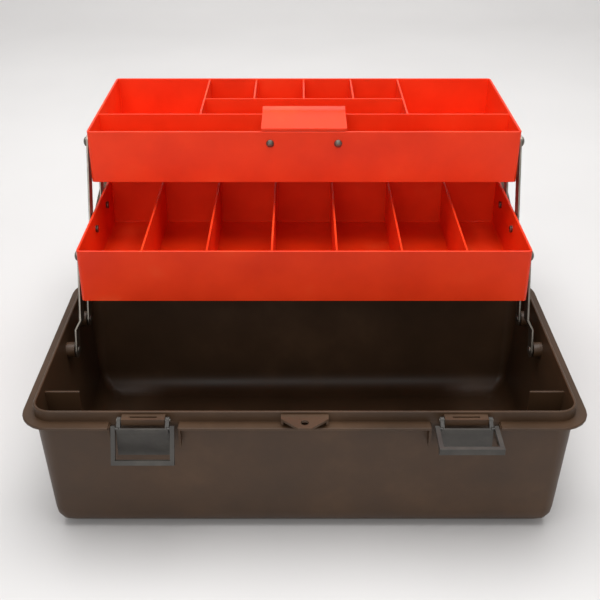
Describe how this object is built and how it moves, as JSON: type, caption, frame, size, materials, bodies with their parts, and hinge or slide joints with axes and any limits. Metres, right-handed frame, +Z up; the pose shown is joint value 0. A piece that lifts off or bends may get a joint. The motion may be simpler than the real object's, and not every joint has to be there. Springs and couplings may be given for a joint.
{
  "type": "sewing box with trays",
  "caption": "Lidded plastic sewing box whose two divided trays swing up and back on steel arms as the lid opens.",
  "frame": {"origin": "centre of the box's flat bottom, at the table", "axes": "+X to the object's right seen from the latches, +Y from the latches to the hinge, +Z up"},
  "size_m": [0.424, 0.5219, 0.2693],
  "materials": {
    "body_plastic": "moulded, satin, lightly scratched",
    "tray_plastic": "moulded, semi-gloss",
    "latch_plastic": "moulded, satin",
    "handle_plastic": "moulded, satin",
    "arm_steel": "dull, rolled strip",
    "rivet_steel": "dull, headed"
  },
  "bodies": {
    "box": {"box_body": "body_plastic", "hinge_pin": "rivet_steel", "box_rivet_front_left": "rivet_steel", "box_rivet_front_right": "rivet_steel", "box_rivet_rear_left": "rivet_steel", "box_rivet_rear_right": "rivet_steel", "latch_pin_left": "rivet_steel", "latch_pin_right": "rivet_steel"},
    "lid": {"lid": "body_plastic", "handle_pin_left": "rivet_steel", "handle_pin_right": "rivet_steel"},
    "handle": {"handle": "handle_plastic"},
    "long_arms": {"long_arm_left": "arm_steel", "long_arm_right": "arm_steel"},
    "front_arms": {"front_arm_left": "arm_steel", "front_arm_right": "arm_steel"},
    "rear_arms": {"rear_arm_left": "arm_steel", "rear_arm_right": "arm_steel"},
    "lower_tray": {"lower_tray": "tray_plastic", "lower_tray_rivet_front_left": "rivet_steel", "lower_tray_rivet_front_right": "rivet_steel", "lower_tray_rivet_middle_left": "rivet_steel", "lower_tray_rivet_middle_right": "rivet_steel", "lower_tray_rivet_rear_left": "rivet_steel", "lower_tray_rivet_rear_right": "rivet_steel"},
    "upper_tray": {"upper_tray": "tray_plastic", "lift_tab": "tray_plastic", "tab_rivet_left": "rivet_steel", "tab_rivet_right": "rivet_steel", "upper_tray_rivet_front_left": "rivet_steel", "upper_tray_rivet_front_right": "rivet_steel", "upper_tray_rivet_rear_left": "rivet_steel", "upper_tray_rivet_rear_right": "rivet_steel"},
    "lever_left": {"latch_lever_left": "latch_plastic"},
    "bail_left": {"latch_bail_left": "latch_plastic"},
    "lever_right": {"latch_lever_right": "latch_plastic"},
    "bail_right": {"latch_bail_right": "latch_plastic"}
  },
  "joints": [
    {"name": "lid_hinge", "type": "hinge", "parent": "box", "child": "lid", "pos_m": [0, 0.1228, 0.1092], "axis": [1, 0, 0], "range_deg": [0, 163.7]},
    {"name": "long_arm_swing", "type": "hinge", "parent": "box", "child": "long_arms", "pos_m": [0, 0.061, 0.1004], "axis": [1, 0, 0], "range_deg": [0, 70.61]},
    {"name": "front_arm_swing", "type": "hinge", "parent": "box", "child": "front_arms", "pos_m": [0, 0.007, 0.1004], "axis": [1, 0, 0], "range_deg": [0, 70.61]},
    {"name": "lower_tray_pivot", "type": "hinge", "parent": "long_arms", "child": "lower_tray", "pos_m": [0, 0.08704, 0.17604], "axis": [1, 0, 0], "range_deg": [-70.61, 0]},
    {"name": "upper_tray_pivot", "type": "hinge", "parent": "long_arms", "child": "upper_tray", "pos_m": [0, 0.11179, 0.2479], "axis": [1, 0, 0], "range_deg": [-70.61, 0]},
    {"name": "rear_arm_swing", "type": "hinge", "parent": "lower_tray", "child": "rear_arms", "pos_m": [0, 0.14105, 0.17604], "axis": [1, 0, 0], "range_deg": [0, 70.61]},
    {"name": "handle_swing", "type": "hinge", "parent": "lid", "child": "handle", "pos_m": [0, 0.27637, 0.02158], "axis": [1, 0, 0], "range_deg": [-6, 171]},
    {"name": "lever_swing_left", "type": "hinge", "parent": "box", "child": "lever_left", "pos_m": [-0.1185, -0.1132, 0.1128], "axis": [-1, 0, 0], "range_deg": [0, 85]},
    {"name": "bail_swing_left", "type": "hinge", "parent": "lever_left", "child": "bail_left", "pos_m": [-0.1185, -0.1196, 0.1095], "axis": [-1, 0, 0], "range_deg": [-25, 73]},
    {"name": "lever_swing_right", "type": "hinge", "parent": "box", "child": "lever_right", "pos_m": [0.1185, -0.1132, 0.1128], "axis": [-1, 0, 0], "range_deg": [0, 85]},
    {"name": "bail_swing_right", "type": "hinge", "parent": "lever_right", "child": "bail_right", "pos_m": [0.1185, -0.1196, 0.1095], "axis": [-1, 0, 0], "range_deg": [-90, 8]}
  ],
  "couplings": [
    {"joint": "long_arm_swing", "follows": "lid_hinge", "ratio": 0.43128},
    {"joint": "front_arm_swing", "follows": "lid_hinge", "ratio": 0.43128},
    {"joint": "lower_tray_pivot", "follows": "lid_hinge", "ratio": -0.43128},
    {"joint": "upper_tray_pivot", "follows": "lid_hinge", "ratio": -0.43128},
    {"joint": "rear_arm_swing", "follows": "lid_hinge", "ratio": 0.43128}
  ]
}
